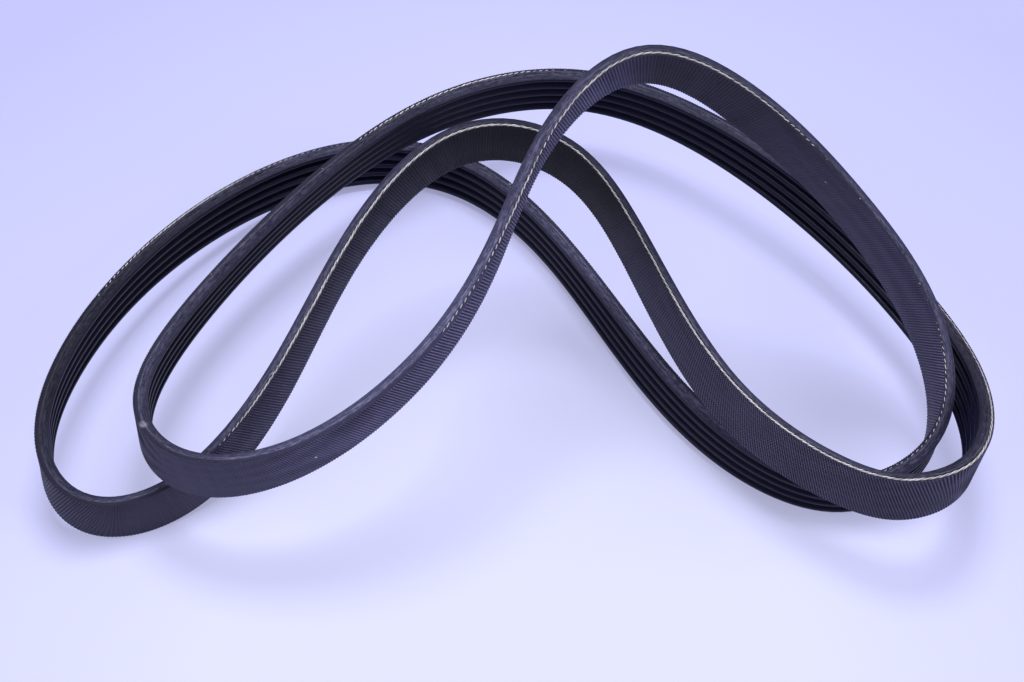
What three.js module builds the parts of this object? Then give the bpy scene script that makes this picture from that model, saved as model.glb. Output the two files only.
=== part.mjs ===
import * as THREE from 'three';

// A serpentine belt from a car engine, off its pulleys and set down in crossing loops.
// Lengths are in millimetres and angles in degrees. +Z is up, +X runs along the longest side,
// and the origin is on the table under the middle of the belt. The belt lies on its lower cut edge.

// Belt section
const ribCount = 5;
const ribPitch = 3.56;
const ribHeight = 2.3;
const ribAngle = 40; // between the two flanks of one rib
const grooveFlat = 0.5; // flat floor of a groove
const backing = 2.0; // from the groove floor to the back
const pitchDepth = 1.3; // from the back to the line that the route gives

// Tensile cord that the cut laid bare along the upper edge
const cordDiameter = 0.9;
const cordDepth = 1.1; // from the back to the middle of the cord
const cordProud = 0.05; // how far it stands out of the cut edge
const cordClearance = 0.3; // round the cord in its channel
const cordSides = 6;

// Lay of the belt
const beltLength = 1641; // once round, along the line that the route gives
const crossingGap = 0.4; // between a strand and the one that it rides over
const ringsPerStation = 4;

const beltWidth = ribCount * ribPitch;
const levelHeight = beltWidth + crossingGap;

// The route: x, y, level, lean. The values are the rounded result of a scratch program that fitted
// the belt to edges traced on the photograph. About a third of the levels and leans were then changed
// a little by hand.
// The belt follows a smooth closed curve drawn towards these stations, and the plan is scaled so that
// it has its length. A level of 0 stands on the table and a level of 1 rides just over a strand that
// does. The lean turns the upper edge sideways.
const route = [
  // over the table at the back and down the outer left side
  [-57, 73, 0, -15],
  [-95, 51, 0.25, -6],
  [-124, 17, 0.6, 2],
  [-143, -22, 0.86, 4],
  [-149, -61, 0.93, 8],
  // round the outer left end
  [-132, -77, -0.03, 4],
  [-98, -64, -0.08, 6],
  // up the middle to the lower peak
  [-70, -36, 1.27, -3],
  [-50, 1, 2.62, -8],
  [-18, 29, 3.79, -4],
  [20, 28, 3.21, -3],
  // down to the near right side
  [39, 4, 2.09, 7],
  [63, -44, 1.08, 16],
  [101, -74, 1.18, 11],
  [120, -81, 1.51, 12],
  // round the right end
  [142, -72, 1.72, -1],
  [146, -30, 0.84, -20],
  // along the back, one belt width over the table
  [123, 12, 0.83, -13],
  [91, 48, 1.07, -14],
  [54, 79, 1.05, -4],
  [16, 91, 1.1, -1],
  [-29, 75, 1.34, 4],
  // down the inner left side and round its end
  [-67, 43, 1.17, 12],
  [-102, 0, 0.88, 8],
  [-122, -47, 1.17, 1],
  [-100, -75, 1.42, 12],
  [-61, -74, 1.98, -6],
  // up to the higher peak
  [-24, -55, 3.23, -10],
  [-4, -29, 4.27, -8],
  [8, 1, 5.36, -15],
  [35, 21, 6.32, -20],
  [66, 8, 5.81, -3],
  // steeply down the right side
  [101, -2, 3.86, -25],
  [131, -18, 1.76, 3],
  [137, -52, 0.55, 4],
  // back across the table under everything else
  [104, -70, -0.07, 1],
  [63, -46, 0.06, -8],
  [37, -5, 0.02, -11],
  [14, 37, 0.03, -4],
  [-17, 68, 0.03, -10],
];

// Outline of the belt as [across, out]: across runs up the width, out points away from the back.
function beltSection() {
  const half = beltWidth / 2;
  const backOut = pitchDepth;
  const cordOut = backOut - cordDepth;
  const floorOut = backOut - backing;
  const crestOut = floorOut - ribHeight;
  const channelHalf = cordDiameter / 2 + cordClearance;
  const channelFloor = half - (cordDiameter - cordProud + cordClearance);
  const flankRun = ribHeight * Math.tan(THREE.MathUtils.degToRad(ribAngle / 2));
  const rootHalf = (ribPitch - grooveFlat) / 2;
  const crestHalf = rootHalf - flankRun;

  const outline = [
    [-half, backOut],
    [half, backOut],
    [half, cordOut + channelHalf],
    [channelFloor, cordOut + channelHalf],
    [channelFloor, cordOut - channelHalf],
    [half, cordOut - channelHalf],
    [half, floorOut],
  ];
  for (let rib = ribCount - 1; rib >= 0; rib -= 1) {
    const middle = (rib - (ribCount - 1) / 2) * ribPitch;
    outline.push([middle + rootHalf, floorOut]);
    outline.push([middle + crestHalf, crestOut]);
    outline.push([middle - crestHalf, crestOut]);
    outline.push([middle - rootHalf, floorOut]);
  }
  outline.push([-half, floorOut]);
  return outline;
}

// Outline of the cord, in the channel of the upper edge.
function cordSection() {
  const radius = cordDiameter / 2;
  const acrossMiddle = beltWidth / 2 + cordProud - radius;
  const outMiddle = pitchDepth - cordDepth;
  const outline = [];
  for (let side = 0; side < cordSides; side += 1) {
    const angle = (-side / cordSides) * 2 * Math.PI;
    outline.push([acrossMiddle + radius * Math.cos(angle), outMiddle + radius * Math.sin(angle)]);
  }
  return outline;
}

// Height over the table of the belt's middle at a level.
function levelToHeight(level) {
  return beltWidth / 2 + level * levelHeight;
}

// Weights of four neighbouring stations in a closed uniform cubic B-spline, and their slopes.
function splineWeights(t) {
  const s = 1 - t;
  return {
    place: [s ** 3 / 6, (3 * t ** 3 - 6 * t ** 2 + 4) / 6, (3 * s ** 3 - 6 * s ** 2 + 4) / 6, t ** 3 / 6],
    slope: [-(s ** 2) / 2, (3 * t ** 2 - 4 * t) / 2, (-3 * s ** 2 + 4 * s) / 2, t ** 2 / 2],
  };
}

// Place, slope and lean at a parameter along the route, with its plan drawn at a scale.
function routeAt(parameter, scale) {
  const first = Math.floor(parameter);
  const weights = splineWeights(parameter - first);
  const place = new THREE.Vector3();
  const slope = new THREE.Vector3();
  let lean = 0;
  for (let i = 0; i < 4; i += 1) {
    const [x, y, level, stationLean] = route[(first + i - 1 + route.length) % route.length];
    const station = new THREE.Vector3(x * scale, y * scale, levelToHeight(level));
    place.addScaledVector(station, weights.place[i]);
    slope.addScaledVector(station, weights.slope[i]);
    lean += stationLean * weights.place[i];
  }
  return { place, slope, lean };
}

// Scale of the route's plan at which the belt has its length.
function fitPlan() {
  const steps = route.length * 20;
  let scale = 1;
  for (let pass = 0; pass < 10; pass += 1) {
    let length = 0;
    for (let step = 0; step < steps; step += 1) {
      length += routeAt((step * route.length) / steps, scale).slope.length() * (route.length / steps);
    }
    scale *= beltLength / length;
  }
  return scale;
}

const planScale = fitPlan();

// Place, width direction and back direction of the belt at a parameter along the route.
function frameAt(parameter) {
  const { place, slope, lean } = routeAt(parameter, planScale);
  const travel = slope.normalize();
  const across = new THREE.Vector3(0, 0, 1).addScaledVector(travel, -travel.z).normalize();
  across.applyAxisAngle(travel, -THREE.MathUtils.degToRad(lean));
  const out = new THREE.Vector3().crossVectors(travel, across);
  return { place, across, out };
}

// One closed solid with the outline carried all the way round the route.
function sweepAround(outline) {
  const ringCount = route.length * ringsPerStation;
  const sides = outline.length;
  const positions = [];
  const indices = [];
  for (let ring = 0; ring < ringCount; ring += 1) {
    const { place, across, out } = frameAt(ring / ringsPerStation);
    const next = (ring + 1) % ringCount;
    for (let side = 0; side < sides; side += 1) {
      const [a, o] = outline[side];
      const point = place.clone().addScaledVector(across, a).addScaledVector(out, o);
      positions.push(point.x, point.y, point.z);
      const turn = (side + 1) % sides;
      indices.push(ring * sides + side, next * sides + turn, ring * sides + turn);
      indices.push(ring * sides + side, next * sides + side, next * sides + turn);
    }
  }
  const geometry = new THREE.BufferGeometry();
  geometry.setAttribute('position', new THREE.Float32BufferAttribute(positions, 3));
  geometry.setIndex(indices);
  geometry.computeVertexNormals();
  return geometry;
}

function ribbedBelt() {
  const material = new THREE.MeshStandardMaterial({ color: '#24262c', roughness: 0.8, metalness: 0 });
  const mesh = new THREE.Mesh(sweepAround(beltSection()), material);
  mesh.name = 'ribbed_belt';
  return mesh;
}

function edgeCord() {
  const material = new THREE.MeshStandardMaterial({ color: '#cfc8bb', roughness: 0.9, metalness: 0 });
  const mesh = new THREE.Mesh(sweepAround(cordSection()), material);
  mesh.name = 'edge_cord';
  return mesh;
}

const belt = new THREE.Group();
belt.add(ribbedBelt(), edgeCord());

// Set the belt down on the table with the origin under its middle.
const box = new THREE.Box3().setFromObject(belt, true);
const middle = box.getCenter(new THREE.Vector3());
for (const piece of belt.children) {
  piece.position.set(-middle.x, -middle.y, -box.min.z);
}

export default belt;
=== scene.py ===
import math

import bpy
import numpy as np
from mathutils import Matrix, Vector


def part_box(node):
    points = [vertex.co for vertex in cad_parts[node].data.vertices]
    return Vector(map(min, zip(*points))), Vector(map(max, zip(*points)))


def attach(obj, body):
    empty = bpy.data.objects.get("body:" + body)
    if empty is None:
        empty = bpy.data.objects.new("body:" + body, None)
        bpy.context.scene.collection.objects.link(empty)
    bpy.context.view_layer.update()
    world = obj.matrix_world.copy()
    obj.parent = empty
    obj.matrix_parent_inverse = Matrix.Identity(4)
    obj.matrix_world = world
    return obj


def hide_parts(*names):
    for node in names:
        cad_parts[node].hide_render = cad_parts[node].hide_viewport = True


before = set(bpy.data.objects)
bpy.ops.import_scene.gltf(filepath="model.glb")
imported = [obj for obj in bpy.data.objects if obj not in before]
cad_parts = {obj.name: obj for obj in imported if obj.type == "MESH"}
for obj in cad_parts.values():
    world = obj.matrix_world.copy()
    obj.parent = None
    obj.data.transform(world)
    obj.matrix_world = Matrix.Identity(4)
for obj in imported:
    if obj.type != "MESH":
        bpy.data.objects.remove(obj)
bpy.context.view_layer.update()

print("frame loaded")


# Everything below is worked out in millimetres and turned to metres when a mesh is made.

# The route of the belt as stations: x, y, level, lean. A level of 0 stands on the table and 1 rides
# over one strand. The lean turns the upper edge sideways, in degrees.
beltRoute = [
    (-57, 73, 0, -15), (-95, 51, 0.25, -6), (-124, 17, 0.6, 2), (-143, -22, 0.86, 4),
    (-149, -61, 0.93, 8), (-132, -77, -0.03, 4), (-98, -64, -0.08, 6),  # outer left end
    (-70, -36, 1.27, -3), (-50, 1, 2.62, -8), (-18, 29, 3.79, -4), (20, 28, 3.21, -3),  # lower peak
    (39, 4, 2.09, 7), (63, -44, 1.08, 16), (101, -74, 1.18, 11),  # near right side
    (120, -81, 1.51, 12), (142, -72, 1.72, -1), (146, -30, 0.84, -20),  # right end
    (123, 12, 0.83, -13), (91, 48, 1.07, -14), (54, 79, 1.05, -4), (16, 91, 1.1, -1),  # back
    (-29, 75, 1.34, 4), (-67, 43, 1.17, 12), (-102, 0, 0.88, 8),
    (-122, -47, 1.17, 1), (-100, -75, 1.42, 12), (-61, -74, 1.98, -6),  # inner left end
    (-24, -55, 3.23, -10), (-4, -29, 4.27, -8), (8, 1, 5.36, -15),
    (35, 21, 6.32, -20), (66, 8, 5.81, -3),  # higher peak
    (101, -2, 3.86, -25), (131, -18, 1.76, 3), (137, -52, 0.55, 4),  # steeply down the right side
    (104, -70, -0.07, 1), (63, -46, 0.06, -8), (37, -5, 0.02, -11),  # under everything else
    (14, 37, 0.03, -4), (-17, 68, 0.03, -10),
]

beltSize = {
    "ribCount": 5, "ribPitch": 3.56, "ribHeight": 2.3, "ribAngle": 40, "grooveFlat": 0.5,
    "backing": 2.0,  # groove floor to back
    "pitchDepth": 1.3,  # back to the line that the route gives
    "length": 1641, "crossingGap": 0.4,
    "crestRounding": 0.32, "grooveRounding": 0.2, "backCorner": 0.09,
    "footLine": 0.12,  # the cut edge has a line this far from the groove floor, for a crisp corner
    "sharpAngle": 44,  # degrees
    # cross ridges moulded into the back, with fine rings there and coarse ones on the rib side
    "ridgePitch": 0.93, "ridgeDepth": 0.24, "samplesPerRidge": 6, "ridgesPerRing": 3,
    "ridgeRoundness": 0.8,  # under 1 their tops are rounder and the valleys narrower
    "ridgeWobble": (0.12, 9, 3),
    "askewFade": 0.6, "fullyAskew": 0.3,  # share of the depth lost where the cloth slants this much
    # channel of the bare cord in the upper cut edge
    "cordDepth": 1.1,  # back to the middle of the bare cord
    "mouthOpen": 0.52, "mouthShut": 0.3, "channelDeep": 0.95,
    "opensFrom": 0.55, "opensOver": 0.35,  # bareness of the cord at which it starts to open
    # corners of its section: share of the depth, share of the mouth
    "channelProfile": [(0, 1), (0.75, 0.9), (1, 0.35), (1, -0.35), (0.75, -0.9), (0, -1)],
    "knifeWobble": (0.03, 14, 5),
    "seamDepth": 0.4, "seamLip": 0.03,  # back to where the cut edge starts, and least edge there
    # how pale each line of the cut edges is, dark where low: upper one and its rib, ribs, lower rib
    # and its edge
    "upperPaleShare": [0, 0.1, 0.1, 0.1, 0.1, 0.2, 0.6, 0.95, 0.6, 0.7, 0.85, 0.35],
    "ribPaleShare": 0.5,
    "lowerPaleShare": [0.35, 0.7, 0.7, 0.95, 0.95, 0],
    "upperFlank": 5, "lowerFlank": 7,  # lines of the outer ribs that the knife smoothed
    "foldGap": 0.3,  # between the back and the rest where the belt is laid out flat
}

# How much of the cord the cut laid bare, how soiled it is, and how far it wanders towards the back,
# in mm, by station: place, bare, soil, outward.
bareColumn, soilColumn, outwardColumn = 1, 2, 3
cordShow = [
    (0, 0.56, 0.35, 0.2), (0.8, 0.58, 0.25, 0.3), (1.35, 0.62, 0.2, 0.45), (2.2, 0.58, 0.15, 0.4),
    (3.0, 0.52, 0.35, 0.2), (3.4, 0.4, 0.4, 0), (4.2, 0, 0.4, 0), (6.15, 0, 0.4, 0.2),
    (6.35, 0.55, 0.35, 0.3), (6.9, 0.64, 0.15, 0.1), (7.4, 0.78, 0.05, 0), (8.5, 0.86, 0.15, 0),
    (9.3, 0.8, 0.3, 0.1), (10.2, 0.72, 0.45, 0), (11.0, 0.8, 0.2, 0), (11.5, 0.88, 0.05, 0.45),
    (12.9, 1, 0.1, 0.45), (13.5, 1, 0.25, 0), (14.1, 1, 0.2, 0), (14.6, 0.9, 0.35, 0.4),
    (15.3, 0.68, 0.45, 0.3), (15.9, 0.6, 0.45, 0.35), (16.6, 0.6, 0.5, 0.3),
    (17.3, 0.56, 0.6, 0.2), (19.0, 0.52, 0.75, 0.2), (20.0, 0.56, 0.5, 0.2),
    (20.5, 0.6, 0.1, 0.2), (21.5, 0.58, 0.15, 0.2), (22.1, 0.47, 0.3, 0), (22.6, 0.5, 0.3, 0.3),
    (23.1, 0.54, 0.2, 0.3), (23.6, 0.46, 0.4, 0.2), (24.0, 0.3, 0.5, 0), (24.8, 0, 0.5, 0),
    (27.2, 0, 0.4, 0), (27.35, 0.58, 0.35, 0), (27.65, 0.58, 0.45, 0), (27.8, 0.56, 0.45, 0.1),
    (28.1, 0.58, 0.45, 0.2), (28.5, 0.62, 0.35, 0.35), (29.0, 0.58, 0.5, 0.4),
    (29.5, 0.64, 0.3, 0.35), (30.0, 0.64, 0.4, -0.1), (31.0, 0.62, 0.5, 0), (31.4, 0.57, 0.5, 0),
    (31.7, 0.53, 0.5, 0), (32.6, 0.52, 0.4, 0.4), (33.3, 0.58, 0.2, 0.45),
    (34.0, 0.57, 0.35, 0.2), (34.5, 0.57, 0.4, 0.3), (35.5, 0.45, 0.4, 0.2),
    (40, 0.56, 0.35, 0.2),
]

# Painted light and shade by station: the back and the cut edge painted lighter or darker, and the
# crests painted paler as a painted highlight, which also sets how high the beads stand: place,
# back, crests, cut edge.
backLightColumn, crestLightAndBeadColumn, edgeLightColumn = 1, 2, 3
paintedLightAndBeads = [
    (0, 1, 0.6, 1.2), (1, 1, 0.6, 0.7), (2.5, 1, 0.8, 0.45), (3.5, 1, 1, 0.38),
    (4.4, 1.1, 1.1, 0.85), (4.8, 1.05, 0.9, 1.0), (5.3, 0.75, 0.12, 1.1), (5.9, 1.0, 0.4, 1.2),
    (6.5, 1.6, 1.5, 1.5), (7.5, 1.3, 1.3, 1.2), (8.5, 0.45, 0.5, 0.9), (9.5, 0.1, 0.2, 0.4),
    (10.5, 0.06, 0.15, 0.45), (11.0, 0.7, 0.3, 0.9), (11.5, 1.1, 0.8, 1.0), (12.5, 1.4, 1.3, 1.0),
    (13.5, 1.2, 1.2, 1.0), (14.5, 1.4, 1, 0.7), (15.5, 1.1, 1, 0.45), (17, 1, 1, 0.7),
    (18.5, 1, 1, 0.8), (20.5, 1, 1, 0.85), (21.5, 1, 1, 0.65), (22.5, 1, 1, 1.0),
    (23.5, 1, 1, 1.1), (24.4, 1.2, 0.8, 1.0), (25.0, 1.1, 0.15, 1.1), (25.5, 1.25, 0.4, 1.3),
    (26.0, 1.7, 0.9, 1.7), (26.5, 2.5, 1.5, 1.8), (27.5, 3.2, 1.5, 2.0), (28.5, 2.4, 1.4, 1.3),
    (29.5, 2.4, 1.1, 1.1), (30.2, 0.55, 0.35, 0.7), (31, 0.6, 0.3, 0.8), (31.5, 0.75, 0.35, 0.8),
    (32.5, 1.75, 0.6, 1.0), (33.2, 2.5, 0.9, 1.1), (34.5, 1.4, 0.8, 1.3), (36.5, 1, 0.8, 1.4),
    (37.5, 1, 0.8, 1.5), (38.5, 1, 0.8, 0.9), (40, 1, 0.6, 1.2),
]

# Where the moulding cloth lay askew: how far its weft slants, in ridges per mm across, by station.
slantColumn = 1
clothSlant = [
    (0, 0), (4.6, 0), (4.8, -0.12), (5.0, -0.3), (5.3, 0.1), (5.6, 0.54), (5.9, 0.4), (6.3, 0.15),
    (6.7, 0.04), (8, 0), (11.0, 0), (11.7, 0.3), (12.4, 0.57), (12.7, 0.48), (13.0, 0.41),
    (13.5, 0.28), (13.8, 0.2), (14.3, 0.16), (15, 0), (24.2, 0), (24.8, 0.28), (25.5, 0.25),
    (26.0, 0.14), (26.3, 0.06), (26.8, 0), (31.0, 0), (31.6, 0.2), (32.2, 0.15), (32.7, 0.11),
    (33.5, 0), (40, 0),
]

beltWidth = beltSize["ribCount"] * beltSize["ribPitch"]
halfWidth = beltWidth / 2


def routeAt(places, planScale):
    # place, slope and lean of the closed uniform cubic B-spline drawn towards the stations
    stations = np.array(beltRoute, float)
    stations[:, :2] *= planScale
    stations[:, 2] = halfWidth + stations[:, 2] * (beltWidth + beltSize["crossingGap"])
    first = np.floor(places).astype(int)
    t = places - first
    s = 1 - t
    weights = np.stack([s**3, 3 * t**3 - 6 * t**2 + 4, 3 * s**3 - 6 * s**2 + 4, t**3], 1) / 6
    slopes = np.stack([-(s**2), 3 * t**2 - 4 * t, -3 * s**2 + 4 * s, t**2], 1) / 2
    near = stations[(first[:, None] + np.arange(-1, 3)) % len(stations)]
    blend = np.einsum("rk,rkc->rc", weights, near)
    return blend[:, :3], np.einsum("rk,rkc->rc", slopes, near[:, :, :3]), blend[:, 3]


def fitPlan():
    # plan scale at which the belt has its length, then stations against distance along the belt
    planScale = 1
    places = np.linspace(0, len(beltRoute), 16001)
    for turn in range(10):
        speed = np.linalg.norm(routeAt(places, planScale)[1], axis=1)
        steps = (speed[1:] + speed[:-1]) / 2 * np.diff(places)
        planScale *= beltSize["length"] / steps.sum()
    return planScale, places, np.concatenate([[0], np.cumsum(steps)])


planScale, placeTable, alongTable = fitPlan()

# whole ridges fit the length, and so does the coarse ring that a few of them share
ringCount = round(alongTable[-1] / beltSize["ridgePitch"] / beltSize["ridgesPerRing"])
ridgeStep = alongTable[-1] / ringCount / beltSize["ridgesPerRing"]


def framesAt(places):
    # place, width direction and back direction of the belt
    place, slope, lean = routeAt(places, planScale)
    travel = slope / np.linalg.norm(slope, axis=1, keepdims=True)
    across = np.array([0, 0, 1.0]) - travel * travel[:, 2:]
    across /= np.linalg.norm(across, axis=1, keepdims=True)
    angle = np.radians(lean)[:, None]
    across = across * np.cos(angle) - np.cross(travel, across) * np.sin(angle)
    return place, across, np.cross(travel, across)


def placesAlong(distance):
    return np.interp(distance % alongTable[-1], alongTable, placeTable)


def carry(places, acrossRow, outRow):
    # one row of points per ring; the rows may differ from ring to ring
    place, across, out = framesAt(places)
    return (place[:, None] + across[:, None] * acrossRow[..., None]
            + out[:, None] * outRow[..., None])


def restShift():
    # the CAD stands on the table under its middle, so the same corners give the same shift here
    run = beltSize["ribHeight"] * math.tan(math.radians(beltSize["ribAngle"] / 2))
    inset = beltSize["grooveFlat"] / 2 + run
    back = beltSize["pitchDepth"]
    floor = back - beltSize["backing"]
    crest = floor - beltSize["ribHeight"]
    corners = np.array([(-halfWidth, back), (halfWidth, back),
                        (halfWidth, floor), (halfWidth - inset, crest),
                        (inset - halfWidth, crest), (-halfWidth, floor)])
    rings = np.arange(len(beltRoute) * 4) / 4  # the CAD has four rings a station
    points = carry(rings, np.tile(corners[:, 0], (len(rings), 1)),
                   np.tile(corners[:, 1], (len(rings), 1)))
    low, high = points.min(axis=(0, 1)), points.max(axis=(0, 1))
    cadLow, cadHigh = (np.array(corner) * 1000 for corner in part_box("ribbed_belt"))
    shift = (cadLow + cadHigh - low - high) / 2
    shift[2] = cadLow[2] - low[2]
    return shift


shift = restShift()
print("route: plan scale", round(planScale, 6), "length", round(alongTable[-1], 2),
      "shift", shift.round(3))


def byStation(rows, places, column):
    rows = np.array(rows, float)
    return np.interp(places % len(beltRoute), rows[:, 0], rows[:, column])


def cordLine(places):
    # how far out of the route's line the middle of the bare cord runs
    wander = byStation(cordShow, places, outwardColumn)
    return beltSize["pitchDepth"] - beltSize["cordDepth"] + wander


def wobble(distance, amount, spacing, seed):
    # slow unevenness along the belt, the same each run, that closes on itself
    random = np.random.default_rng(seed)
    waves = 12
    total = np.zeros_like(distance)
    for wave in range(waves):
        cycles = int(alongTable[-1] / spacing * random.uniform(0.5, 1.5))
        total += np.sin(distance / alongTable[-1] * 2 * math.pi * cycles + random.uniform(0, 6.3))
    return amount * (total / waves**0.5)


def makeMesh(name, points, faces, materials, faceMaterials):
    mesh = bpy.data.meshes.new(name)
    mesh.from_pydata(((points + shift) / 1000).tolist(), [], faces)
    for material in materials:
        mesh.materials.append(material)
    mesh.polygons.foreach_set("material_index", faceMaterials)
    mesh.polygons.foreach_set("use_smooth", [True] * len(faces))
    piece = bpy.data.objects.new(name, mesh)
    bpy.context.scene.collection.objects.link(piece)
    return piece


def storeValue(mesh, name, values):
    # a value at each point, which the materials read by its name
    mesh.attributes.new(name, "FLOAT", "POINT").data.foreach_set("value", values)


def storeLay(mesh, along, girth):
    # the belt laid out flat as a map, in metres: u along it, v round its section
    layer = mesh.uv_layers.new(name="beltLay")
    corners = np.zeros(len(mesh.loops), int)
    mesh.loops.foreach_get("vertex_index", corners)
    starts = np.zeros(len(mesh.polygons), int)
    mesh.polygons.foreach_get("loop_start", starts)
    faceOfCorner = np.repeat(np.arange(len(starts)), np.diff(np.append(starts, len(corners))))
    # a face that closes the round takes its far points from beyond the end
    u = along[corners]
    longest = np.maximum.reduceat(u, starts)[faceOfCorner]
    u = np.where(longest - u > alongTable[-1] / 2, u + alongTable[-1], u)
    v = girth[corners]
    widest = np.maximum.reduceat(v, starts)[faceOfCorner]
    v = np.where(widest - v > girth.max() / 2, v + girth.max(), v)
    layer.uv.foreach_set("vector", np.stack([u, v], 1).ravel() / 1000)


def linear(hexColour):
    # sRGB hex to the linear values that the shader takes
    values = [int(hexColour[i:i + 2], 16) / 255 for i in (1, 3, 5)]
    return tuple(v / 12.92 if v <= 0.04045 else ((v + 0.055) / 1.055) ** 2.4 for v in values) + (1,)


def addNode(tree, kind, settings=None, links=None):
    node = tree.nodes.new(kind)
    for name, value in (settings or {}).items():
        if isinstance(name, int) or name in node.inputs:
            node.inputs[name].default_value = value
        else:
            setattr(node, name, value)
    for name, socket in (links or {}).items():
        tree.links.new(socket, node.inputs[name])
    return node


def startMaterial(name, finish):
    material = bpy.data.materials.new(name)
    material.use_nodes = True
    tree = material.node_tree
    tree.nodes.clear()
    shader = addNode(tree, "ShaderNodeBsdfPrincipled", finish)
    addNode(tree, "ShaderNodeOutputMaterial", {}, {"Surface": shader.outputs["BSDF"]})
    return material, tree, shader


def beltMap(tree, alongSize, roundSize):
    # the flat lay of the belt, stretched so that one unit is a feature of this size in mm
    lay = addNode(tree, "ShaderNodeUVMap", {"uv_map": "beltLay"})
    return addNode(tree, "ShaderNodeMapping", {"Scale": (1000 / alongSize, 1000 / roundSize, 1)},
                   {"Vector": lay.outputs["UV"]}).outputs["Vector"]


def spotAt(tree, place, across, out, radius):
    # a soft round mark at one place of the surface
    spot = (carry(np.array([place]), np.array([[across]]), np.array([[out]]))[0, 0] + shift) / 1000
    where = addNode(tree, "ShaderNodeTexCoord").outputs["Object"]
    away = addNode(tree, "ShaderNodeVectorMath", {"operation": "DISTANCE", 1: spot.tolist()},
                   {0: where})
    return addNode(tree, "ShaderNodeMapRange",
                   {"From Min": radius / 1000, "From Max": radius / 2500},
                   {"Value": away.outputs["Value"]}).outputs["Result"]


backRubber = {
    # valley and crest: painted shade in the ridges' valleys and a painted highlight on their crests
    "valley": "#0e0c1b", "crest": "#5d5976", "dust": "#4b4862",
    "finish": {"IOR": 1.5, "Specular IOR Level": 0.26}, "roughness": (0.52, 0.72),
    "warpSpacing": 0.88,  # mm across the belt between the cloth threads that pinch the ridges
    "warpStray": 3.0,  # radians that a thread may stray sideways
    "ridgeShare": 0.72, "beadShare": 0.6,  # how far ridges run on, and how far beads break them up
    "even": 0.32,  # paleness of the back where its crests carry no painted highlight
    "patches": (11.11, 4.545), "dusting": (40, 16.67), "drift": (6.25, 6.25),  # mm along and across
    "grain": 0.64,  # mm; the real grain is far finer, and this is as coarse as it needs to show
    "beadHeight": 0.0003, "grainHeight": 0.00004,  # metres
    # marks: place, across, out, radius
    "speck": (31.75, 2.0, 1.3, 0.45), "speckColour": "#8c8ca4",  # pale, on the far right back
    "nick": (26.075, -1.6, 1.3, 0.55), "nickColour": "#9a9bb4",  # on the near left back
}


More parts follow.
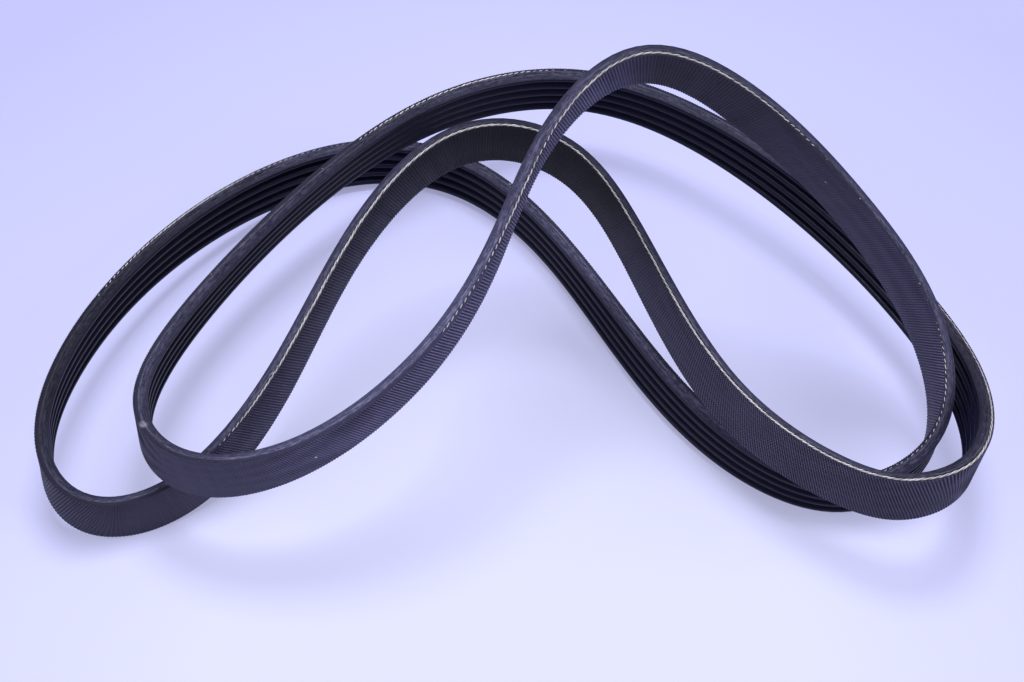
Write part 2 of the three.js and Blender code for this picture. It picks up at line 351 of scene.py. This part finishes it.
def ridgedRubber():
    # EPDM rubber cured against woven cloth: matt blue-black cross ridges that its threads pinch
    # into beads, with painted shade in the valleys and a painted highlight on the crests, so that
    # slanting rows of beads show
    material, tree, shader = startMaterial("epdmRidgedBack", backRubber["finish"])
    drift = addNode(tree, "ShaderNodeTexNoise", {"Scale": 1.0, "Detail": 1.0},
                    {"Vector": beltMap(tree, *backRubber["drift"])})
    thread = addNode(tree, "ShaderNodeSeparateXYZ", {},
                     {"Vector": beltMap(tree, ridgeStep / (2 * math.pi),
                                        backRubber["warpSpacing"] / (2 * math.pi))})
    strayed = addNode(tree, "ShaderNodeMath",
                      {"operation": "MULTIPLY_ADD", 1: backRubber["warpStray"]},
                      {0: drift.outputs["Fac"], 2: thread.outputs["Y"]})
    slant = addNode(tree, "ShaderNodeAttribute", {"attribute_name": "slant"})
    askew = addNode(tree, "ShaderNodeMath", {"operation": "ADD"},
                    {0: thread.outputs["X"], 1: slant.outputs["Fac"]})
    ridge = addNode(tree, "ShaderNodeMath", {"operation": "COSINE"}, {0: askew.outputs["Value"]})
    pinch = addNode(tree, "ShaderNodeMath", {"operation": "COSINE"}, {0: strayed.outputs["Value"]})
    share = addNode(tree, "ShaderNodeMath",
                    {"operation": "MULTIPLY_ADD", 1: backRubber["beadShare"],
                     2: backRubber["ridgeShare"]},
                    {0: pinch.outputs["Value"]})
    weave = addNode(tree, "ShaderNodeMath", {"operation": "MULTIPLY"},
                    {0: ridge.outputs["Value"], 1: share.outputs["Value"]})
    raised = addNode(tree, "ShaderNodeMapRange", {"From Min": -0.4, "From Max": 1.15},
                     {"Value": weave.outputs["Value"]})
    patches = addNode(tree, "ShaderNodeTexNoise", {"Scale": 1.0, "Detail": 3.0, "Roughness": 0.6},
                      {"Vector": beltMap(tree, *backRubber["patches"])})
    paleAmount = addNode(tree, "ShaderNodeMapRange",
                     {"From Min": 0.3, "From Max": 0.7, "To Min": 0.62, "To Max": 1.0},
                     {"Value": patches.outputs["Fac"]})
    crestPattern = addNode(tree, "ShaderNodeMath", {"operation": "MULTIPLY"},
                   {0: raised.outputs["Result"], 1: paleAmount.outputs["Result"]})
    # crests painted paler as a painted highlight, as far as the station table says; elsewhere the
    # ridges show by their shape alone
    crestLightAndBeads = addNode(tree, "ShaderNodeAttribute", {"attribute_name": "crests"})
    contrast = addNode(tree, "ShaderNodeMath", {"operation": "SUBTRACT", 1: backRubber["even"]},
                       {0: crestPattern.outputs["Value"]})
    paleness = addNode(tree, "ShaderNodeMath",
                       {"operation": "MULTIPLY_ADD", 2: backRubber["even"], "use_clamp": True},
                       {0: contrast.outputs["Value"], 1: crestLightAndBeads.outputs["Fac"]})
    body = addNode(tree, "ShaderNodeMix",
                   {"data_type": "RGBA", 6: linear(backRubber["valley"]),
                    7: linear(backRubber["crest"])},
                   {0: paleness.outputs["Value"]})
    dusting = addNode(tree, "ShaderNodeTexNoise", {"Scale": 1.0, "Detail": 2.0},
                      {"Vector": beltMap(tree, *backRubber["dusting"])})
    dustMask = addNode(tree, "ShaderNodeMapRange",
                       {"From Min": 0.5, "From Max": 0.8, "To Max": 0.22},
                       {"Value": dusting.outputs["Fac"]})
    dusty = addNode(tree, "ShaderNodeMix", {"data_type": "RGBA", 7: linear(backRubber["dust"])},
                    {0: dustMask.outputs["Result"], 6: body.outputs[2]})
    marked = addNode(tree, "ShaderNodeMix",
                     {"data_type": "RGBA", 7: linear(backRubber["speckColour"])},
                     {0: spotAt(tree, *backRubber["speck"]), 6: dusty.outputs[2]})
    nicked = addNode(tree, "ShaderNodeMix",
                     {"data_type": "RGBA", 7: linear(backRubber["nickColour"])},
                     {0: spotAt(tree, *backRubber["nick"]), 6: marked.outputs[2]})
    # painted light and shade: the tone attribute makes the back lighter or darker by station
    tone = addNode(tree, "ShaderNodeAttribute", {"attribute_name": "tone"})
    toned = addNode(tree, "ShaderNodeVectorMath", {"operation": "SCALE"},
                    {0: nicked.outputs[2], "Scale": tone.outputs["Fac"]})
    tree.links.new(toned.outputs["Vector"], shader.inputs["Base Color"])
    beads = addNode(tree, "ShaderNodeMath", {"operation": "MULTIPLY"},
                    {0: raised.outputs["Result"], 1: crestLightAndBeads.outputs["Fac"]})
    beadBump = addNode(tree, "ShaderNodeBump",
                       {"Strength": 1.0, "Distance": backRubber["beadHeight"]},
                       {"Height": beads.outputs["Value"]})
    grain = addNode(tree, "ShaderNodeTexNoise", {"Scale": 1.0, "Detail": 4.0, "Roughness": 0.7},
                    {"Vector": beltMap(tree, backRubber["grain"], backRubber["grain"])})
    grainBump = addNode(tree, "ShaderNodeBump",
                        {"Strength": 0.35, "Distance": backRubber["grainHeight"]},
                        {"Height": grain.outputs["Fac"], "Normal": beadBump.outputs["Normal"]})
    tree.links.new(grainBump.outputs["Normal"], shader.inputs["Normal"])
    smooth, rough = backRubber["roughness"]
    sheen = addNode(tree, "ShaderNodeMapRange", {"To Min": smooth, "To Max": rough},
                    {"Value": patches.outputs["Fac"]})
    tree.links.new(sheen.outputs["Result"], shader.inputs["Roughness"])
    return material


edgeRubber = {
    "dark": "#1b1a2c", "light": "#45445c", "fibre": "#76748c",
    "strip": "#1a192b", "pale": "#706e84",  # beside the back, and paler towards the ribs
    "finish": {"IOR": 1.5, "Specular IOR Level": 0.2}, "roughness": (0.55, 0.8),
    "streaks": (14.29, 0.3333), "mottle": (2.381, 0.9091),  # mm along and across
    "fibres": (0.5263, 0.3226),  # ends of short fibres, coarser than the real ones so they show
    "streakHeight": 0.00008,  # metres
    "scuff": (24.43, 8.9, -0.2, 1.8), "scuffColour": "#94909c",  # at the inner left end
}


def cutRubber():
    # the same rubber where a knife parted the belts: slate grey, streaked along the cut
    material, tree, shader = startMaterial("epdmCutEdge", edgeRubber["finish"])
    streaks = addNode(tree, "ShaderNodeTexNoise", {"Scale": 1.0, "Detail": 4.0, "Roughness": 0.65},
                      {"Vector": beltMap(tree, *edgeRubber["streaks"])})
    mottle = addNode(tree, "ShaderNodeTexNoise", {"Scale": 1.0, "Detail": 4.0, "Roughness": 0.7},
                     {"Vector": beltMap(tree, *edgeRubber["mottle"])})
    halfMottle = addNode(tree, "ShaderNodeMath", {"operation": "MULTIPLY", 1: 0.5},
                         {0: mottle.outputs["Fac"]})
    both = addNode(tree, "ShaderNodeMath", {"operation": "MULTIPLY_ADD", 1: 0.5},
                   {0: streaks.outputs["Fac"], 2: halfMottle.outputs["Value"]})
    spread = addNode(tree, "ShaderNodeMapRange", {"From Min": 0.36, "From Max": 0.64},
                     {"Value": both.outputs["Value"]})
    body = addNode(tree, "ShaderNodeMix",
                   {"data_type": "RGBA", 6: linear(edgeRubber["dark"]),
                    7: linear(edgeRubber["light"])},
                   {0: spread.outputs["Result"]})
    fibres = addNode(tree, "ShaderNodeTexNoise", {"Scale": 1.0, "Detail": 1.0},
                     {"Vector": beltMap(tree, *edgeRubber["fibres"])})
    fibreMask = addNode(tree, "ShaderNodeMapRange",
                        {"From Min": 0.66, "From Max": 0.74, "To Max": 0.7},
                        {"Value": fibres.outputs["Fac"]})
    flecked = addNode(tree, "ShaderNodeMix", {"data_type": "RGBA", 7: linear(edgeRubber["fibre"])},
                      {0: fibreMask.outputs["Result"], 6: body.outputs[2]})
    # dark beside the back, paler towards the ribs
    paleShare = addNode(tree, "ShaderNodeAttribute", {"attribute_name": "paleShare"})
    shaded = addNode(tree, "ShaderNodeMapRange",
                     {"From Min": 0.05, "From Max": 0.6, "To Min": 0.75, "To Max": 0.0},
                     {"Value": paleShare.outputs["Fac"]})
    stripped = addNode(tree, "ShaderNodeMix", {"data_type": "RGBA", 7: linear(edgeRubber["strip"])},
                       {0: shaded.outputs["Result"], 6: flecked.outputs[2]})
    paleBy = addNode(tree, "ShaderNodeMath", {"operation": "MULTIPLY"},
                       {0: paleShare.outputs["Fac"], 1: spread.outputs["Result"]})
    paleAmount = addNode(tree, "ShaderNodeMapRange", {"From Min": 0.3, "From Max": 0.9, "To Max": 0.8},
                     {"Value": paleBy.outputs["Value"]})
    paled = addNode(tree, "ShaderNodeMix", {"data_type": "RGBA", 7: linear(edgeRubber["pale"])},
                    {0: paleAmount.outputs["Result"], 6: stripped.outputs[2]})
    scuff = addNode(tree, "ShaderNodeMath", {"operation": "MULTIPLY"},
                    {0: spotAt(tree, *edgeRubber["scuff"]), 1: spread.outputs["Result"]})
    scuffed = addNode(tree, "ShaderNodeMix",
                      {"data_type": "RGBA", 7: linear(edgeRubber["scuffColour"])},
                      {0: scuff.outputs["Value"], 6: paled.outputs[2]})
    # painted light and shade: the tone attribute makes the cut edge lighter or darker by station
    tone = addNode(tree, "ShaderNodeAttribute", {"attribute_name": "tone"})
    toned = addNode(tree, "ShaderNodeVectorMath", {"operation": "SCALE"},
                    {0: scuffed.outputs[2], "Scale": tone.outputs["Fac"]})
    tree.links.new(toned.outputs["Vector"], shader.inputs["Base Color"])
    bump = addNode(tree, "ShaderNodeBump",
                   {"Strength": 0.6, "Distance": edgeRubber["streakHeight"]},
                   {"Height": both.outputs["Value"]})
    tree.links.new(bump.outputs["Normal"], shader.inputs["Normal"])
    smooth, rough = edgeRubber["roughness"]
    sheen = addNode(tree, "ShaderNodeMapRange", {"To Min": smooth, "To Max": rough},
                    {"Value": mottle.outputs["Fac"]})
    tree.links.new(sheen.outputs["Result"], shader.inputs["Roughness"])
    return material


ribRubber = {
    "groove": "#020212", "crest": "#0d0e30",
    "finish": {"IOR": 1.5, "Specular IOR Level": 0.2}, "roughness": (0.34, 0.54),
    "haze": (3.846, 1.4286),  # mm along and across
    "lines": (16.67, 0.1923),  # left by the grinding, coarser than the real ones so that they show
    "lineHeight": 0.00003,  # metres
    "speck": (23.95, 3.2, -2.6, 0.6), "speckColour": "#8f8fa4",  # pale, on the ribs at the left
}


def groundRubber():
    # ribs ground to shape: smoother and darker than the back, with fine lines along them
    material, tree, shader = startMaterial("epdmGroundRibs", ribRubber["finish"])
    haze = addNode(tree, "ShaderNodeTexNoise", {"Scale": 1.0, "Detail": 4.0, "Roughness": 0.65},
                   {"Vector": beltMap(tree, *ribRubber["haze"])})
    body = addNode(tree, "ShaderNodeMix",
                   {"data_type": "RGBA", 6: linear(ribRubber["groove"]),
                    7: linear(ribRubber["crest"])},
                   {0: haze.outputs["Fac"]})
    marked = addNode(tree, "ShaderNodeMix",
                     {"data_type": "RGBA", 7: linear(ribRubber["speckColour"])},
                     {0: spotAt(tree, *ribRubber["speck"]), 6: body.outputs[2]})
    tree.links.new(marked.outputs[2], shader.inputs["Base Color"])
    lines = addNode(tree, "ShaderNodeTexNoise", {"Scale": 1.0, "Detail": 3.0, "Roughness": 0.6},
                    {"Vector": beltMap(tree, *ribRubber["lines"])})
    bump = addNode(tree, "ShaderNodeBump", {"Strength": 0.3, "Distance": ribRubber["lineHeight"]},
                   {"Height": lines.outputs["Fac"]})
    tree.links.new(bump.outputs["Normal"], shader.inputs["Normal"])
    smooth, rough = ribRubber["roughness"]
    sheen = addNode(tree, "ShaderNodeMapRange", {"To Min": smooth, "To Max": rough},
                    {"Value": haze.outputs["Fac"]})
    tree.links.new(sheen.outputs["Result"], shader.inputs["Roughness"])
    return material


yarn = {
    "clean": "#d8d4cf", "soiled": "#6f6a72", "gap": "#34323f",
    "finish": {"Roughness": 0.85, "IOR": 1.5},
    "smear": 1.4286,  # mm
    "filaments": 0.1667,  # mm; the real ones are far finer, and these are coarse enough to show
    "filamentHeight": 0.00004,  # metres
}


def polyesterYarn():
    # twisted polyester cord: off-white filaments, dulled where rubber still smears it
    material, tree, shader = startMaterial("polyesterCord", yarn["finish"])
    where = addNode(tree, "ShaderNodeTexCoord").outputs["Object"]
    smear = addNode(tree, "ShaderNodeTexNoise", {"Scale": 1000 / yarn["smear"], "Detail": 3.0},
                    {"Vector": where})
    soil = addNode(tree, "ShaderNodeAttribute", {"attribute_name": "soil"})
    level = addNode(tree, "ShaderNodeMath", {"operation": "SUBTRACT", 1: 0.35},
                    {0: soil.outputs["Fac"]})
    amount = addNode(tree, "ShaderNodeMath",
                     {"operation": "MULTIPLY_ADD", 1: 0.7, "use_clamp": True},
                     {0: smear.outputs["Fac"], 2: level.outputs["Value"]})
    strand = addNode(tree, "ShaderNodeMix",
                     {"data_type": "RGBA", 6: linear(yarn["clean"]), 7: linear(yarn["soiled"])},
                     {0: amount.outputs["Value"]})
    # rubber is left in the gaps between the plies, with a ragged edge
    gap = addNode(tree, "ShaderNodeAttribute", {"attribute_name": "gap"})
    ragged = addNode(tree, "ShaderNodeMath", {"operation": "MULTIPLY_ADD", 1: 0.9, 2: -0.45},
                     {0: smear.outputs["Fac"]})
    packed = addNode(tree, "ShaderNodeMath", {"operation": "ADD"},
                     {0: gap.outputs["Fac"], 1: ragged.outputs["Value"]})
    filled = addNode(tree, "ShaderNodeMapRange",
                     {"From Min": 0.45, "From Max": 1.0, "To Max": 0.85},
                     {"Value": packed.outputs["Value"]})
    twisted = addNode(tree, "ShaderNodeMix", {"data_type": "RGBA", 7: linear(yarn["gap"])},
                      {0: filled.outputs["Result"], 6: strand.outputs[2]})
    tree.links.new(twisted.outputs[2], shader.inputs["Base Color"])
    filaments = addNode(tree, "ShaderNodeTexNoise",
                        {"Scale": 1000 / yarn["filaments"], "Detail": 2.0}, {"Vector": where})
    bump = addNode(tree, "ShaderNodeBump", {"Strength": 0.5, "Distance": yarn["filamentHeight"]},
                   {"Height": filaments.outputs["Fac"]})
    tree.links.new(bump.outputs["Normal"], shader.inputs["Normal"])
    return material


def roundedCorner(before, corner, after, size, count):
    # points of a small curve in place of a corner
    before, corner, after = (np.array(p, float) for p in (before, corner, after))
    start = corner + (before - corner) / np.linalg.norm(before - corner) * size
    end = corner + (after - corner) / np.linalg.norm(after - corner) * size
    steps = np.linspace(0, 1, count)
    return [tuple((1 - t) ** 2 * start + 2 * t * (1 - t) * corner + t**2 * end) for t in steps]


def ribSideOutline():
    # from under the upper back corner, down the rib side, to under the lower back corner
    size = beltSize
    floor = size["pitchDepth"] - size["backing"]
    crest = floor - size["ribHeight"]
    rootHalf = (size["ribPitch"] - size["grooveFlat"]) / 2
    crestHalf = rootHalf - size["ribHeight"] * math.tan(math.radians(size["ribAngle"] / 2))
    foot = floor + size["footLine"]
    outline = [(halfWidth, foot), (halfWidth, floor)]
    for rib in range(size["ribCount"] - 1, -1, -1):
        middle = (rib - (size["ribCount"] - 1) / 2) * size["ribPitch"]
        path = [(middle + rootHalf + 1, floor), (middle + rootHalf, floor),
                (middle + crestHalf, crest), (middle - crestHalf, crest),
                (middle - rootHalf, floor), (middle - rootHalf - 1, floor)]
        for corner, (rounding, count) in enumerate([(size["grooveRounding"], 2),
                                                    (size["crestRounding"], 3),
                                                    (size["crestRounding"], 3),
                                                    (size["grooveRounding"], 2)]):
            outline += roundedCorner(*path[corner:corner + 3], rounding, count)
    outline += [(-halfWidth, floor), (-halfWidth, foot)]
    return np.array(outline)


def ridgedBack(along, slant):
    # ridges with round tops and narrower valleys, shallower where the cloth lay askew
    size = beltSize
    corner = size["backCorner"]
    turn = np.arange(len(along)) / size["samplesPerRidge"] * 2 * math.pi
    wave = (0.5 + 0.5 * np.cos(turn)) ** size["ridgeRoundness"]
    fade = 1 - size["askewFade"] * np.clip(np.abs(slant) / size["fullyAskew"], 0, 1)
    valley = size["ridgeDepth"] * (1 - wave) * ((1 + wobble(along, *size["ridgeWobble"])) * fade)
    across = np.array([-halfWidth, -halfWidth + corner, halfWidth - corner, halfWidth])
    out = size["pitchDepth"] - valley[:, None] - np.array([corner, 0, 0, corner])
    return across, carry(placesAlong(along), np.tile(across, (len(along), 1)), out)


def cordChannel(along, places):
    # the seam line under the back, then the channel, which is open only where the cord is bare
    size = beltSize
    bareness = byStation(cordShow, places, bareColumn)
    opened = np.clip((bareness - size["opensFrom"]) / size["opensOver"], 0, 1)[:, None]
    mouth = size["mouthShut"] + (size["mouthOpen"] - size["mouthShut"]) * opened
    deep = size["channelDeep"] * opened
    middle = cordLine(places)[:, None]
    knife = wobble(along, *size["knifeWobble"])[:, None]
    depths, widths = np.array(size["channelProfile"]).T
    seam = np.maximum(size["pitchDepth"] - size["seamDepth"], middle + mouth + size["seamLip"])
    channel = halfWidth - depths * deep + knife * (depths == 0)
    across = np.concatenate([halfWidth + knife, channel], 1)
    return across, np.concatenate([seam, middle + widths * mouth], 1), opened[:, 0]


def makeBelt(materials):
    size = beltSize
    rings = ringCount
    perRing = size["ridgesPerRing"] * size["samplesPerRidge"]
    coarseAlong = np.arange(rings) * alongTable[-1] / rings
    fineAlong = np.arange(rings * perRing) * alongTable[-1] / (rings * perRing)
    places, finePlaces = placesAlong(coarseAlong), placesAlong(fineAlong)

    slant = byStation(clothSlant, finePlaces, slantColumn)
    fineAcross, finePoints = ridgedBack(fineAlong, slant)

    # the cut edges and the ribs
    channelAcross, channelOut, opened = cordChannel(coarseAlong, places)
    ribSide = ribSideOutline()
    lowerSeam = size["pitchDepth"] - size["seamDepth"]
    coarseAcross = np.concatenate([channelAcross, np.tile(ribSide[:, 0], (rings, 1)),
                                   np.full((rings, 1), -halfWidth)], 1)
    coarseOut = np.concatenate([channelOut, np.tile(ribSide[:, 1], (rings, 1)),
                                np.full((rings, 1), lowerSeam)], 1)
    coarsePoints = carry(places, coarseAcross, coarseOut)

    fineSides, coarseSides = finePoints.shape[1], coarsePoints.shape[1]
    points = np.concatenate([finePoints.reshape(-1, 3), coarsePoints.reshape(-1, 3)])
    fineCount, coarseCount = len(fineAlong) * fineSides, rings * coarseSides
    faces, slots = [], []

    def addStrips(start, sides, ringTotal, slotOf):
        ring = np.arange(ringTotal)
        following = (ring + 1) % ringTotal
        for side in range(sides - 1):
            strip = np.stack([ring * sides + side, following * sides + side,
                              following * sides + side + 1, ring * sides + side + 1], 1) + start
            faces.extend(strip.tolist())
            slots.extend([slotOf(side)] * len(strip))

    # materials: 0 is the back, 1 the cut edges, 2 the ribs; the knife also smoothed the outer
    # flanks of the two outer ribs
    ribFirst = channelAcross.shape[1] + size["upperFlank"]
    ribLast = coarseSides - size["lowerFlank"]
    addStrips(0, fineSides, len(fineAlong), lambda side: 0)
    addStrips(fineCount, coarseSides, rings, lambda side: 2 if ribFirst <= side < ribLast else 1)

    # the fine rings of the back are stitched to the coarse ones of the cut edges
    midway = perRing // 2
    for ring in range(rings):
        for column, upper in ((0, False), (fineSides - 1, True)):
            side = 0 if upper else coarseSides - 1
            here = fineCount + ring * coarseSides + side
            there = fineCount + (ring + 1) % rings * coarseSides + side
            run = [(ring * perRing + k) % len(fineAlong) * fineSides + column
                   for k in range(perRing + 1)]
            fan = [(run[k], run[k + 1], here if k < midway else there) for k in range(perRing)]
            fan.append((run[midway], there, here))
            faces.extend(fan if upper else [face[::-1] for face in fan])
            slots.extend([1] * len(fan))

    piece = makeMesh("ribbedBelt", points, faces, materials, slots)
    corner = size["backCorner"]
    fineSteps = np.hypot(np.diff(fineAcross), [corner, 0, corner])
    fineGirth = np.concatenate([[0], np.cumsum(fineSteps)])
    widest = np.argmax(opened)
    coarseSteps = np.hypot(np.diff(coarseAcross[widest]), np.diff(coarseOut[widest]))
    coarseGirth = fineGirth[-1] + size["foldGap"] + np.concatenate([[0], np.cumsum(coarseSteps)])
    storeLay(piece.data,
             np.append(np.repeat(fineAlong, fineSides), np.repeat(coarseAlong, coarseSides)),
             np.append(np.tile(fineGirth, len(fineAlong)), np.tile(coarseGirth, rings)))

    paleShare = np.full(coarseSides, size["ribPaleShare"])
    paleShare[:len(size["upperPaleShare"])] = size["upperPaleShare"]
    paleShare[-len(size["lowerPaleShare"]):] = size["lowerPaleShare"]
    storeValue(piece.data, "paleShare", np.append(np.zeros(fineCount), np.tile(paleShare, rings)))
    # painted light and shade on the back and the cut edges, by station
    storeValue(piece.data, "tone",
               np.append(np.repeat(byStation(paintedLightAndBeads, finePlaces, backLightColumn), fineSides),
                         np.repeat(byStation(paintedLightAndBeads, places, edgeLightColumn), coarseSides)))
    phase = 2 * math.pi * slant[:, None] * fineAcross
    storeValue(piece.data, "slant", np.append(phase.ravel(), np.zeros(coarseCount)))
    # how far the crests are painted paler as a highlight; the same share sets how high the beads
    # stand
    storeValue(piece.data, "crests",
               np.append(np.repeat(byStation(paintedLightAndBeads, finePlaces, crestLightAndBeadColumn), fineSides),
                         np.zeros(coarseCount)))
    piece.data.set_sharp_from_angle(angle=math.radians(size["sharpAngle"]))
    return piece


cordSize = {
    "radius": 0.38, "lobe": 0.18, "plies": 3,
    "lay": 6.4,  # one full turn of a ply, so a strand shows every 2.1 mm
    "sunk": 0.6, "bare": 0.33,  # middle of the cord under the cut edge, hidden and fully bare
    "ringStep": 0.42, "sides": 15,
    # amount in mm or as a share, spacing in mm, seed
    "showWobble": (0.05, 7, 11), "thickWobble": (0.05, 3, 17), "strayWobble": (0.05, 12, 23),
    "grimeWobble": (0.12, 10, 29),
    "frayed": [(7.03, 2.7, -0.5), (7.07, 1.7, 0.3)],  # broken filaments: place, length, slant
    "filamentRadius": 0.11, "filamentThinning": 0.8, "filamentRoot": 0.2, "filamentSoil": 0.1,
}


def frayedFilament(place, length, slant):
    # a broken filament that stands out of the cut edge, thinning to its tip
    size = cordSize
    steps, sides = 6, 5
    rise = np.linspace(0, 1, steps)
    middle, across, out = (row[0] for row in framesAt(np.array([place])))
    travel = np.cross(across, out)
    root = middle + across * (halfWidth - size["filamentRoot"]) + out * cordLine(place)
    spine = (root + across * (rise * length)[:, None]
             + travel * (slant * rise**2 * length)[:, None])
    angles = np.arange(sides) / sides * 2 * math.pi
    radius = size["filamentRadius"] * (1 - size["filamentThinning"] * rise)
    ring = travel * np.cos(angles)[:, None] + out * np.sin(angles)[:, None]
    points = (spine[:, None] + ring[None] * radius[:, None, None]).reshape(-1, 3)
    faces = [[step * sides + side, step * sides + (side + 1) % sides,
              (step + 1) * sides + (side + 1) % sides, (step + 1) * sides + side]
             for step in range(steps - 1) for side in range(sides)]
    ends = [list(range(sides))[::-1], list(range((steps - 1) * sides, steps * sides))]
    return points, faces + ends


def makeCord(material):
    size = cordSize
    sides = size["sides"]
    rings = round(alongTable[-1] / size["ringStep"])
    along = np.arange(rings) * alongTable[-1] / rings
    places = placesAlong(along)
    turns = round(alongTable[-1] / size["lay"])
    twist = along / alongTable[-1] * turns * 2 * math.pi
    bareness = byStation(cordShow, places, bareColumn) + wobble(along, *size["showWobble"])
    depth = size["sunk"] + (size["bare"] - size["sunk"]) * np.clip(bareness, 0, 1)
    angles = np.arange(sides) / sides * 2 * math.pi
    lobes = np.cos(size["plies"] * (angles[None] - twist[:, None]))
    thickness = (1 + wobble(along, *size["thickWobble"]))[:, None]
    radius = size["radius"] * (1 + size["lobe"] * lobes) * thickness
    middleOut = cordLine(places) + wobble(along, *size["strayWobble"])
    points = carry(places, halfWidth - depth[:, None] + radius * np.cos(angles),
                   middleOut[:, None] - radius * np.sin(angles)).reshape(-1, 3)
    ring = np.arange(rings)[:, None]
    side = np.arange(sides)[None]
    following, turn = (ring + 1) % rings, (side + 1) % sides
    faces = np.stack(np.broadcast_arrays(ring * sides + side, following * sides + side,
                                         following * sides + turn, ring * sides + turn), -1)
    faces = faces.reshape(-1, 4).tolist()
    for filament in size["frayed"]:
        tuft, tuftFaces = frayedFilament(*filament)
        faces += [[index + len(points) for index in face] for face in tuftFaces]
        points = np.concatenate([points, tuft])
    piece = makeMesh("edgeCord", points, faces, [material], [0] * len(faces))
    loose = len(points) - rings * sides
    grime = byStation(cordShow, places, soilColumn) + wobble(along, *size["grimeWobble"])
    storeValue(piece.data, "soil", np.append(np.repeat(np.clip(grime, 0, 1), sides),
                                             np.full(loose, size["filamentSoil"])))
    storeValue(piece.data, "gap", np.append((1 - lobes) / 2, np.zeros(loose)))
    return piece


belt = makeBelt([ridgedRubber(), cutRubber(), groundRubber()])
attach(belt, "root")
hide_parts("ribbed_belt")
print("belt:", len(belt.data.polygons), "faces")

cord = makeCord(polyesterYarn())
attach(cord, "root")
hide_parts("edge_cord")
print("cord:", len(cord.data.polygons), "faces")


studio = {
    "tableNear": "#dcddfe", "tableFar": "#bdbef5", "tableSize": 6.0,
    "tableFinish": {"Roughness": 0.8, "IOR": 1.45},
    "lightPoolMiddle": (0, -0.13, 0), "lightPoolFrom": 0.09, "lightPoolTo": 0.32,  # a painted pool of light, palest round this middle and fading out between these distances
    "tableGlow": 0.4,  # share of the table's own colour that shows through the shadows
    "tableGap": 0.00005,  # under the belt, so that the two faces don't flicker
    "sky": "#eceeff", "skyStrength": 0.3,
    # lamps in metres and watts
    "topLamp": {"place": (0.05, 0.33, 1.35), "size": 0.6, "power": 15.8, "colour": "#f2f4ff"},
    "leftLamp": {"place": (-1.25, -0.35, 0.65), "size": 1.1, "power": 9.0, "colour": "#f2f4ff"},
    "rightLamp": {"place": (1.25, -0.35, 0.65), "size": 1.1, "power": 9.0, "colour": "#f2f4ff"},
    "lens": 62.04, "cameraAway": 0.5954, "cameraHeight": 57.01,  # mm, metres, degrees
}


def paleBoard():
    # matt painted board, with a painted pool of light that makes it paler near you than at the back
    material, tree, shader = startMaterial("mattPaleBoard", studio["tableFinish"])
    where = addNode(tree, "ShaderNodeTexCoord").outputs["Object"]
    away = addNode(tree, "ShaderNodeVectorMath",
                   {"operation": "DISTANCE", 1: studio["lightPoolMiddle"]}, {0: where})
    fade = addNode(tree, "ShaderNodeMapRange",
                   {"From Min": studio["lightPoolFrom"], "From Max": studio["lightPoolTo"]},
                   {"Value": away.outputs["Value"]})
    tone = addNode(tree, "ShaderNodeMix",
                   {"data_type": "RGBA", 6: linear(studio["tableNear"]),
                    7: linear(studio["tableFar"])},
                   {0: fade.outputs["Result"]})
    tree.links.new(tone.outputs[2], shader.inputs["Base Color"])
    # eye and gloss see part of the board's colour through the shadows, as under a wide white tent
    glow = addNode(tree, "ShaderNodeEmission", {"Strength": 1.0}, {"Color": tone.outputs[2]})
    ray = addNode(tree, "ShaderNodeLightPath")
    seen = addNode(tree, "ShaderNodeMath", {"operation": "MAXIMUM"},
                   {0: ray.outputs["Is Camera Ray"], 1: ray.outputs["Is Glossy Ray"]})
    share = addNode(tree, "ShaderNodeMath", {"operation": "MULTIPLY", 1: studio["tableGlow"]},
                    {0: seen.outputs["Value"]})
    both = addNode(tree, "ShaderNodeMixShader", {},
                   {0: share.outputs["Value"], 1: shader.outputs["BSDF"],
                    2: glow.outputs["Emission"]})
    tree.links.new(both.outputs["Shader"], tree.nodes["Material Output"].inputs["Surface"])
    return material


def makeTable():
    lowest = min(0, min(v.co.z for v in belt.data.vertices))
    side = studio["tableSize"] / 2
    mesh = bpy.data.meshes.new("tableTop")
    mesh.from_pydata([(-side, -side, 0), (side, -side, 0), (side, side, 0), (-side, side, 0)],
                     [], [(0, 1, 2, 3)])
    mesh.materials.append(paleBoard())
    table = bpy.data.objects.new("tableTop", mesh)
    table.location.z = lowest - studio["tableGap"]
    bpy.context.scene.collection.objects.link(table)


def makeLamp(name):
    settings = studio[name]
    light = bpy.data.lights.new(name, "AREA")
    light.shape = "DISK"
    light.size = settings["size"]
    light.energy = settings["power"]
    light.color = linear(settings["colour"])[:3]
    lamp = bpy.data.objects.new(name, light)
    lamp.location = settings["place"]
    lamp.rotation_euler = (-Vector(settings["place"])).to_track_quat("-Z", "Y").to_euler()
    bpy.context.scene.collection.objects.link(lamp)


def makeSky():
    world = bpy.data.worlds.new("paleRoom")
    world.use_nodes = True
    background = world.node_tree.nodes["Background"]
    background.inputs["Color"].default_value = linear(studio["sky"])
    background.inputs["Strength"].default_value = studio["skyStrength"]
    bpy.context.scene.world = world


def makeCamera():
    # the photograph looks down at 57 degrees along +Y; its middle lies over the route's own origin
    data = bpy.data.cameras.new("photoCamera")
    data.sensor_width = 36
    data.lens = studio["lens"]
    camera = bpy.data.objects.new("photoCamera", data)
    tilt = math.radians(studio["cameraHeight"])
    aim = Vector(shift / 1000)
    camera.location = aim + Vector((0, -math.cos(tilt), math.sin(tilt))) * studio["cameraAway"]
    camera.rotation_euler = (math.pi / 2 - tilt, 0, 0)
    bpy.context.scene.collection.objects.link(camera)
    bpy.context.scene.camera = camera


makeTable()
for lampName in ("topLamp", "leftLamp", "rightLamp"):
    makeLamp(lampName)
makeSky()
makeCamera()
bpy.context.scene.view_settings.view_transform = "Standard"
print("studio set")
